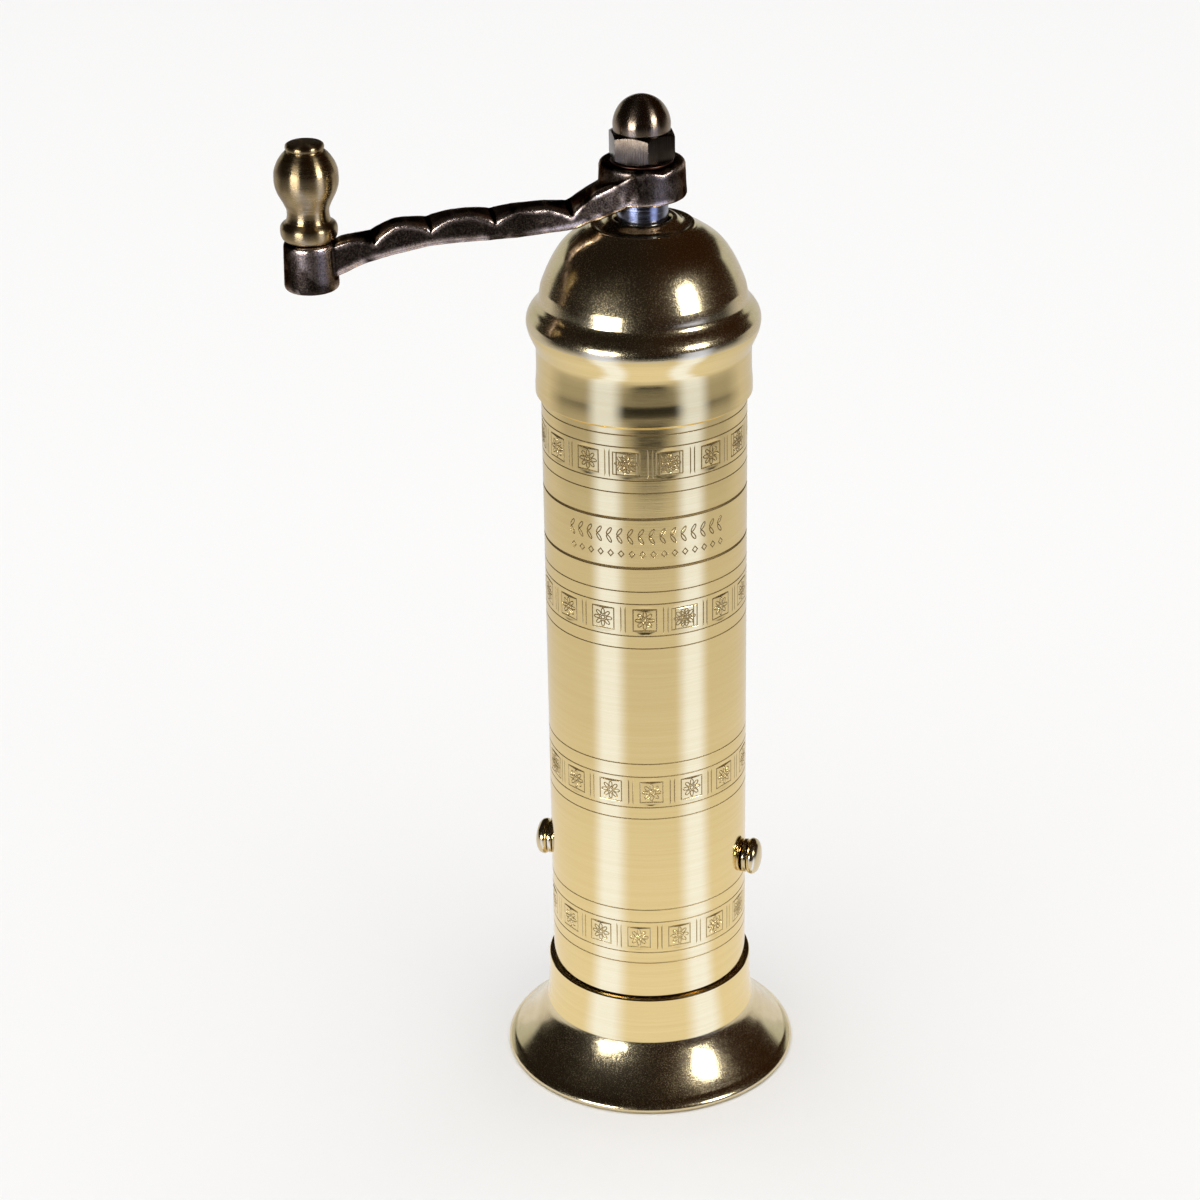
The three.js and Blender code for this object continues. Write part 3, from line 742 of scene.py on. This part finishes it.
# ---- the crank ---------------------------------------------------------------------------
# The arm's top, underside and front face: [x, height] twice, then [x, y]; x = 0 is the hub.
CREST = [[-63.1, 179.1], [-58.6, 179.3], [-57.4, 179.8], [-53.3, 180.9], [-47.7, 183],
         [-43.8, 183.6], [-34.6, 184.9], [-20, 186.1], [-14.5, 186.8], [-11.8, 188.1],
         [-8.7, 189.9], [-4.8, 192.4], [-2, 194], [0, 194.25], [3, 193.6]]
BELLY = [[-63.1, 170.8], [-57.7, 172.75], [-52.3, 175.2], [-46.3, 176.9], [-40.6, 178.2],
         [-34.7, 178.9], [-27.2, 179.4], [-22.1, 179.9], [-13.4, 181.6], [-10, 183.3],
         [-7.7, 184.3], [-3, 186.8], [0, 187.5], [3, 188]]
FRONT = [[-63.1, -2.5], [-30, -2.5], [-20, -2.6], [-12, -4.4],
         [-5.5, -7.05], [-3, -7.9], [0, -8.22], [3, -7.5]]
NOTCHES = [-50.6, -39.9, -27.8, -13.3]  # the valleys between the lobes, along the front edge
NOTCH_REACH = 4.5
NOTCH_LEAN = 1.3  # how far towards the knob a valley has moved where it meets the back edge
NOTCH_FRONT, NOTCH_BACK = 2.6, 0.65  # depths at the two edges


def notch_at(x, across):
    """How far the top dips at x, across = 0 at the back edge and 1 at the front."""
    away = min(abs(x - n + NOTCH_LEAN * (1 - across)) for n in NOTCHES)
    share = max(0.0, 1 - math.sqrt(away / NOTCH_REACH))
    return share * (NOTCH_BACK + (NOTCH_FRONT - NOTCH_BACK) * across**1.3)


def arm_shell():
    """The arm as closed sections across x: flat sides, a lobed top and a soft belly."""
    lines = [np.array(curve(points, 12)) for points in (CREST, BELLY, FRONT)]
    verts = []
    xs = np.arange(-REACH, 3.01, 0.3)
    shares = np.linspace(1, 0, 15)
    for x in xs:
        crest, belly, front = (np.interp(x, line[:, 0], line[:, 1]) for line in lines)
        back = ARM_HALF_WIDTH
        section = [(back - 1.1, belly), (front + 1.1, belly), (front + 0.35, belly + 0.3),
                   (front, belly + 1.1)]
        for share in shares:
            y = back + (front - back) * share
            edge = min(share, 1 - share) * (back - front)
            rounding = 0.5 * max(0.0, 1 - edge / 0.7) ** 2
            crown = 0.25 * (2 * share - 1) ** 2
            section.append((y, crest - notch_at(x, share) - rounding - crown))
        section += [(back, belly + 1.1), (back - 0.35, belly + 0.3)]
        verts += [(x, y, z) for y, z in section]
    width = len(section)
    ends = [list(range(width)), list(range((len(xs) - 1) * width, len(xs) * width))]
    return verts, grid_faces(len(xs), width) + ends


def moved(shell, x):
    """Vertices and faces shifted along x."""
    verts, faces = shell
    return [(v[0] + x, v[1], v[2]) for v in verts], faces


def prism(outline, bottom, top):
    """A flat outline of [x, y] points raised from bottom to top."""
    count = len(outline)
    verts = [(x, y, z) for z in (bottom, top) for x, y in outline]
    faces = [[k, (k + 1) % count, count + (k + 1) % count, count + k] for k in range(count)]
    return verts, [*faces, list(range(count)), list(range(count, 2 * count))]


def bar(radius, bottom, top, segments=64):
    """A round bar about the axis."""
    return lathe([[0, bottom], [radius, bottom], [radius, top], [0, top]], segments, closed=False)


def joined(*shells):
    """Several sets of vertices and faces as one."""
    verts, faces = [], []
    for new_verts, new_faces in shells:
        start = len(verts)
        verts += list(new_verts)
        faces += [[start + i for i in face] for face in new_faces]
    return verts, faces


def edge_wear(mesh, full, passes=3):
    """0 to 1 for how far each vertex stands proud of its smoothed surroundings, 1 at full mm."""
    co = points_of(mesh)
    edges = np.empty(len(mesh.edges) * 2, np.int32)
    mesh.edges.foreach_get("vertices", edges)
    edges = edges.reshape(-1, 2)
    normals = np.empty(len(co) * 3, np.float32)
    mesh.vertices.foreach_get("normal", normals)
    normals = normals.reshape(-1, 3)
    count = np.bincount(edges.ravel(), minlength=len(co))[:, None]

    def neighbours(values):
        total = np.zeros_like(values)
        np.add.at(total, edges[:, 0], values[edges[:, 1]])
        np.add.at(total, edges[:, 1], values[edges[:, 0]])
        return total / np.maximum(count, 1)

    smooth = co.copy()
    for _ in range(passes):
        smooth = neighbours(smooth)
    bulge = ((co - smooth) * normals).sum(1)[:, None]
    for _ in range(2):
        bulge = (bulge + neighbours(bulge)) / 2
    return np.clip(bulge[:, 0] / full, 0, 1)


def crank_arm():
    """The cast arm with its hub and boss: remeshed into one skin, softened and made lumpy."""
    hub = lathe(softened([[0, 187.4], [8.5, 187.4], [8.1, HUB_TOP], [0, HUB_TOP]],
                         0.7, closed=False), 128, closed=False)
    boss = lathe(softened([[0, 169.9], [5.3, 169.9], [5.05, 179.4], [0, 179.4]], 0.9,
                          closed=False), 96, closed=False)
    rough = mesh_of("arm", *joined(arm_shell(), hub, moved(boss, -REACH)))
    mesh = modified(rough, "REMESH", mode="VOXEL", voxel_size=ARM_VOXEL, adaptivity=0.0)
    mesh = modified(mesh, "SMOOTH", factor=0.5, iterations=3)
    co = points_of(mesh)
    normals = np.array([v.normal for v in mesh.vertices])
    wear = edge_wear(mesh, 0.02)
    lump = np.array([noise.noise(Vector(p) * 0.25) * 0.08 + noise.noise(Vector(p) * 0.9) * 0.035
                     for p in co])
    flat_end = np.abs(co[:, 0] + REACH) < 6
    lump[flat_end] *= 0.2
    co += normals * lump[:, None]
    # The hub's front edge is knocked down a little, right of the middle.
    dent = 0.55 * np.exp(-(((co[:, 0] - 4) / 1.8) ** 2) - ((co[:, 1] + 7) / 1.6) ** 2)
    co[:, 2] -= dent * (co[:, 2] > 192)
    mesh.vertices.foreach_set("co", co.astype(np.float32).ravel())
    number_attribute(mesh, "wear", wear)
    shaft_hole = square(SHAFT_HALF + GAP, 180, 200)
    washer_seat = bar(6.25, 193.55, 200)
    bush_room = bar(5.5, 165, HUB_BOTTOM + 0.01)
    pin_hole = moved(bar(PIN_BORE, 172, 185), -REACH)
    for cutter in (shaft_hole, washer_seat, bush_room, pin_hole):
        mesh = boolean(mesh, mesh_of("cutter", *cutter), "DIFFERENCE")
    place("crank_arm_cast", mesh, "crank", "crank_arm", "cast_bronze", [CAST], sharp=50)


def knob():
    """A ringed base, a bulb and a button, with a blind hole for the pin."""
    base = [[4.55, 179.7], [5.1, 180.1], [5.42, 180.9], [5.45, 182.1], [5.2, 182.75],
            [4.6, 183.2]]
    bulb = curve([[4.3, 183.5], [4.06, 184.3], [4.02, 185.2], [4.14, 186], [4.8, 187.5],
                  [5.57, 189], [6.04, 190.5], [6.135, 192], [5.99, 193.5], [5.4, 195],
                  [4.6, 196.2], [3.85, 196.95], [3.5, 197.05]], 6)
    button = curve([[3.42, 197.25], [3.62, 197.4], [3.72, 197.8], [3.6, 198.3], [3.2, 198.55],
                    [2.8, 198.6]], 4)
    profile = [[PIN_BORE, 179.7], *curve(base, 5), *bulb, *button, [0, 198.6], [0, 193.3],
               [PIN_BORE, 193.3]]
    place("knob_turned", mesh_of("knob", *lathe(profile, SMALL_ROUND)), "knob", "knob",
          "aged_brass", [AGED], at=KNOB, sharp=26)


def acorn_nut():
    """A six-sided nut under a dome, bored from below; its faces carry the rubbed edges and the
    painted shade of the flats that its finish reads.
    """
    bottom, _ = span("acorn_nut")
    hex_top = 199.9
    corner = 6.6
    turn = math.radians(9 - 90)
    angles = [turn + math.pi * k / 3 for k in range(6)]
    corners = [[corner * math.cos(a), corner * math.sin(a)] for a in angles]
    flat = corner * math.cos(math.pi / 6)
    chamfer = [[0, bottom], [flat + 0.1, bottom], [corner, bottom + 0.55],
               [corner, hex_top - 0.5], [flat - 0.05, hex_top], [0, hex_top]]
    body = boolean(mesh_of("hex", *prism(corners, bottom - 1, hex_top + 1)),
                   mesh_of("cone", *lathe(chamfer, 180, closed=False)), "INTERSECT")
    dome = curve([[5.42, 200.2], [5.48, 201.5], [5.32, 202.5], [5, 203.5], [4.45, 204.5],
                  [3.8, 205.3], [2.9, 206], [1.9, 206.5], [0.9, 206.78], [0, 206.85]], 4)
    cap = mesh_of("cap", *lathe([[0, 199], [5.3, 199], [5.3, 199.9], *dome], 128, closed=False))
    mesh = boolean(body, cap, "UNION")
    mesh = boolean(mesh, mesh_of("bore", *bar(2.8, bottom - 1, 203.2)), "DIFFERENCE")
    mesh = modified(mesh, "BEVEL", width=0.16, segments=2, limit_method="ANGLE",
                    angle_limit=math.radians(22), harden_normals=False)
    rubbed = mesh.attributes.new("wear", "FLOAT", "FACE")
    shaded_flats = mesh.attributes.new("shaded_flats", "FLOAT", "FACE")
    narrow = 0.12  # a face no wider than this is part of a bevelled edge
    for face in mesh.polygons:
        # Faces on the flats are marked for the finish's painted shade.
        shaded_flats.data[face.index].value = 1.0 if face.center.z < hex_top + 0.2 else 0.0
        edge = max((mesh.vertices[a].co - mesh.vertices[b].co).length for a, b in face.edge_keys)
        rubbed.data[face.index].value = 1.0 if face.area / edge < narrow else 0.0
    place("acorn_nut_domed", mesh, "nut", "acorn_nut", "dark_bronze", [DARK], sharp=40)


def guide_bush():
    """The bush round the shaft, with its square hole and the cross hole for its pin."""
    bottom, top = span("guide_bush")
    outline = softened([[0, bottom], [4.9, bottom], [4.9, top], [0, top]], 0.35, closed=False)
    mesh = mesh_of("bush", *lathe(outline, SMALL_ROUND, closed=False))
    hole = square(SHAFT_HALF + GAP, bottom - 1, top + 1)
    mesh = boolean(mesh, mesh_of("hole", *hole), "DIFFERENCE")
    pin_hole = mesh_of("pin_hole", *bar(1.2, -6, 6, 32))
    pin_hole.transform(Matrix.Translation((0, 0, 175)) @ Matrix.Rotation(math.pi / 2, 4, "X"))
    mesh = boolean(mesh, pin_hole, "DIFFERENCE")
    place("guide_bush_turned", mesh, "rotor", "guide_bush", "bright_steel", [STEEL], sharp=30)


def spring_washer():
    """The washer under the nut, in the seat on top of the hub."""
    bottom, top = span("spring_washer")
    profile = softened([[2.8, bottom], [6, bottom], [6, top], [2.8, top]], 0.15)
    place("spring_washer_ring", mesh_of("washer", *lathe(profile, SMALL_ROUND)), "washer",
          "spring_washer", "bright_steel", [WASHER], sharp=35)


def side_screws():
    """A screw and its collar on each side; their outlines' heights run out from the axis."""
    at = MILL + Vector((0, 0, SCREW_Z * MM))
    head = curve([[2.7, 20.95], [3.35, 21.1], [3.68, 21.55], [3.7, 22.05], [3.45, 22.65],
                  [2.75, 23.2], [1.6, 23.55], [0, 23.7]], 5)
    screw = [[0, 16.5], [1.3, 16.5], [1.45, 16.7], [1.45, 20.95], *head]
    collar = softened([[1.75, 20.05], [3.45, 20.05], [3.45, 20.9], [1.75, 20.9]], 0.2)
    outward = Matrix.Rotation(math.pi / 2, 4, "Y")
    for name, heading in (("right", -13), ("left", 167)):
        turn = Matrix.Rotation(math.radians(heading), 4, "Z") @ outward
        mesh = mesh_of("screw", *lathe(screw, SMALL_ROUND, closed=False))
        place(f"side_screw_{name}_domed", mesh, "body", f"side_screw_{name}",
              "polished_brass", [POLISHED], at=at, turn=turn)
        mesh = mesh_of("collar", *lathe(collar, SMALL_ROUND))
        place(f"side_collar_{name}_ring", mesh, "body", f"side_collar_{name}",
              "polished_brass", [POLISHED], at=at, turn=turn)


def coil_spring(node_name, wire, turns):
    """A closed wire coil, wound between the bottom and top of the CAD spring it stands for."""
    bottom, top = span(node_name)
    low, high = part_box(node_name)
    radius = (high.y - low.y) / 2 / MM - wire
    rise = top - bottom - 2 * wire
    slope = math.atan2(rise, 2 * math.pi * turns * radius)
    steps, ring = round(turns * 32), 12
    verts = []
    for k in range(steps + 1):
        a = 2 * math.pi * turns * k / steps
        outward = np.array([math.cos(a), math.sin(a), 0])
        upward_shade = np.array([math.sin(a) * math.sin(slope), -math.cos(a) * math.sin(slope),
                           math.cos(slope)])
        centre = outward * radius + np.array([0, 0, bottom + wire + rise * k / steps])
        for j in range(ring):
            t = 2 * math.pi * j / ring
            verts.append(centre + wire * (math.cos(t) * outward + math.sin(t) * upward_shade))
    ends = [list(range(ring)), [steps * ring + j for j in range(ring)]]
    mesh = mesh_of(node_name, verts, grid_faces(steps + 1, ring) + ends)
    obj = shown(f"{node_name}_coil", mesh, [STEEL], sharp=40)
    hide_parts(node_name)
    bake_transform(obj)


# ---- the stage ---------------------------------------------------------------------------
def studio_floor():
    """A round pale floor, no wider than the part that the overhead light fills evenly."""
    mesh = bpy.data.meshes.new("floor")
    radius = 1.3
    rim = [2 * math.pi * k / 128 for k in range(128)]
    mesh.from_pydata([(radius * math.cos(a), radius * math.sin(a), 0) for a in rim], [],
                     [list(range(128))])
    floor = bpy.data.objects.new("floor", mesh)
    bpy.context.scene.collection.objects.link(floor)
    white = bpy.data.materials.new("floor_white")
    white.use_nodes = True
    shader = white.node_tree.nodes["Principled BSDF"]
    shader.inputs["Base Color"].default_value = (0.86, 0.86, 0.86, 1)
    shader.inputs["Roughness"].default_value = 0.9
    shader.inputs["Specular IOR Level"].default_value = 0.0
    mesh.materials.append(white)


def table_glow(r, azimuth):
    """How bright the table looks in the metal, r metres out; azimuth in degrees from the front.

    White near the mill, brighter under the two softboxes, falling off in front, and dark
    where the camera stands."""
    level = np.interp(r, [0.05, 0.1, 0.19, 0.3], [0.86, 0.82, 0.70, 0.64])
    front = np.interp(abs(azimuth), [95, 120], [1, 0])
    side_level = np.interp(r, [0.28, 0.4, 0.7, 1.0], [level, 0.4, 0.14, 0.06])
    level = level + (side_level - level) * front
    half = np.interp(r, [0.33, 0.367, 0.45], [12, 18, 34])
    camera_share = np.interp(abs(azimuth - 5), [half - 6, half + 8], [1, 0])
    steps = [0.326, 0.34, 0.375, 0.42, 0.47, 0.5]
    dark = np.interp(r, steps, [0, 1, 1, 0.3, 0.15, 0.85]) * camera_share
    level *= 1 - 0.97 * dark
    colour = np.array([1, 0.975, 0.96]) * level
    for centre, half in ((-43, 15), (51, 14)):
        under = np.interp(abs(azimuth - centre), [half - 7, half + 6], [1, 0])
        lit = np.array([1.03, 1.2, 1.88]) * np.interp(r, [0.1, 0.3, 0.4], [1, 0.93, 0.8])
        colour = colour + (lit - colour) * under
    return colour


def reflected_table():
    """The table as the metal reflects it; the camera sees the plain floor instead."""
    radii = np.concatenate([np.arange(0.036, 0.3, 0.012), np.arange(0.3, 0.52, 0.006),
                            [0.7, 1, 2, 5]])
    azimuths = np.arange(-180, 180, 3)
    verts, colours = [], []
    for r in radii:
        for azimuth in azimuths:
            a = math.radians(azimuth)
            verts.append((r * math.sin(a), -r * math.cos(a), 0.0005))
            colours.append((*table_glow(r, azimuth), 1))
    mesh = bpy.data.meshes.new("reflected_table")
    mesh.from_pydata(verts, [], grid_faces(len(radii), len(azimuths)))
    layer = mesh.attributes.new("glow", "FLOAT_COLOR", "POINT")
    layer.data.foreach_set("color", np.array(colours, np.float32).ravel())
    card = bpy.data.objects.new("reflected_table", mesh)
    card.location = (MILL.x, 0, 0)
    bpy.context.scene.collection.objects.link(card)
    look = bpy.data.materials.new("reflected_table")
    look.use_nodes = True
    look.node_tree.nodes.clear()
    n = Nodes(look.node_tree)
    glow = n.add("ShaderNodeAttribute", attribute_name="glow").outputs["Color"]
    light = n.add("ShaderNodeEmission", {"Color": glow}).outputs[0]
    n.add("ShaderNodeOutputMaterial", {"Surface": light})
    mesh.materials.append(look)
    card.visible_camera = False
    card.visible_diffuse = False
    card.visible_shadow = False


def area_light(name, at, aim, width, height, radiance, glossy, diffuse):
    """A rectangular light that only the chosen kinds of ray can see."""
    light = bpy.data.lights.new(name, "AREA")
    light.shape = "RECTANGLE"
    light.size, light.size_y = width, height
    light.energy = radiance * math.pi * width * height
    obj = bpy.data.objects.new(name, light)
    obj.location = at
    obj.rotation_euler = (Vector(aim) - Vector(at)).to_track_quat("-Z", "Y").to_euler()
    obj.visible_camera = False
    obj.visible_glossy = glossy
    obj.visible_diffuse = diffuse
    bpy.context.scene.collection.objects.link(obj)


def softbox(name, azimuth, bottom, top, spread, radiance, away=0.8):
    """A softbox beside the camera, which only reflections show, with its heights in metres.

    The azimuth is in degrees from straight in front, towards +X, and so is the spread."""
    a = math.radians(azimuth)
    at = MILL + Vector((away * math.sin(a), -away * math.cos(a), (bottom + top) / 2))
    aim = MILL + Vector((0, 0, 0.15))
    width = 2 * away * math.tan(math.radians(spread) / 2)
    area_light(name, at, aim, width, top - bottom, radiance, glossy=True, diffuse=False)


def world():
    """A dark room in front, a pale backdrop behind, and white to the camera."""
    made = bpy.data.worlds.new("studio")
    made.use_nodes = True
    made.node_tree.nodes.clear()
    n = Nodes(made.node_tree)
    soft = {"interpolation_type": "SMOOTHSTEP"}
    direction = n.add("ShaderNodeTexCoord").outputs["Generated"]
    axes = n.add("ShaderNodeSeparateXYZ", {"Vector": direction}).outputs
    warmth = n.remap(axes["X"], -0.3, 0.6, **soft)
    room = n.mix(warmth, (0.016, 0.012, 0.009), (0.026, 0.011, 0.004))
    # The backdrop's skyline is low straight behind the mill and rises to the sides.
    sideways = n.math("ABSOLUTE", axes["X"])
    skyline = n.remap(sideways, 0.25, 0.5, 0.1, 0.27)
    above = n.math("SUBTRACT", axes["Z"], skyline)
    low = n.remap(above, 0.03, -0.05, **soft)
    behind = n.math("MULTIPLY", n.remap(axes["Y"], 0.56, 0.66, **soft), low)
    around = n.mix(behind, room, (0.62, 0.63, 0.58))
    camera_ray = n.add("ShaderNodeLightPath").outputs["Is Camera Ray"]
    seen = n.mix(camera_ray, around, (1, 1, 1))
    background = n.add("ShaderNodeBackground", {"Color": seen, "Strength": 1.0}).outputs[0]
    n.add("ShaderNodeOutputWorld", {"Surface": background})
    bpy.context.scene.world = made


def camera():
    """The photo's view, fitted to the rings engraved round the tube."""
    data = bpy.data.cameras.new("camera")
    data.lens = 96.75
    data.sensor_width = 36
    obj = bpy.data.objects.new("camera", data)
    tilt = Matrix.Rotation(math.radians(64.43), 4, "X")
    roll = Matrix.Rotation(math.radians(-0.94), 4, "Z")
    obj.matrix_world = Matrix.Translation((0.010415, -0.5809, 0.3808)) @ tilt @ roll
    bpy.context.scene.collection.objects.link(obj)
    bpy.context.scene.camera = obj


# ---- assembly ----------------------------------------------------------------------------
body_tube()
dome_lid()
foot()
crank_arm()
knob()
acorn_nut()
guide_bush()
spring_washer()
side_screws()
coil_spring("burr_spring", 0.6, 3.25)
coil_spring("lock_spring", 0.5, 5)

carried_over = {
    "burr_housing": AGED, "adjusting_screw": AGED,
    "outer_burr": BURR, "inner_burr": BURR,
    "lower_bridge": STEEL, "bridge_screw_right": STEEL, "bridge_screw_left": STEEL,
    "thrust_ball": STEEL, "drive_shaft": STEEL, "bush_pin": STEEL, "burr_pin": STEEL,
    "knob_pin": STEEL,
}
for node_name, finish in carried_over.items():
    node = frame["nodes"][node_name]
    node.data.materials.clear()
    node.data.materials.append(finish)

studio_floor()
reflected_table()
area_light("overhead", (0, 0, 2.4), (0, 0, 0), 6, 6, 1.68, glossy=False, diffuse=True)
softbox("softbox_right", 53, 0.38, 0.62, 18, 19)
softbox("softbox_left", -40, 0.14, 0.33, 26, 16)
world()
camera()
bpy.context.scene.view_settings.view_transform = "Standard"
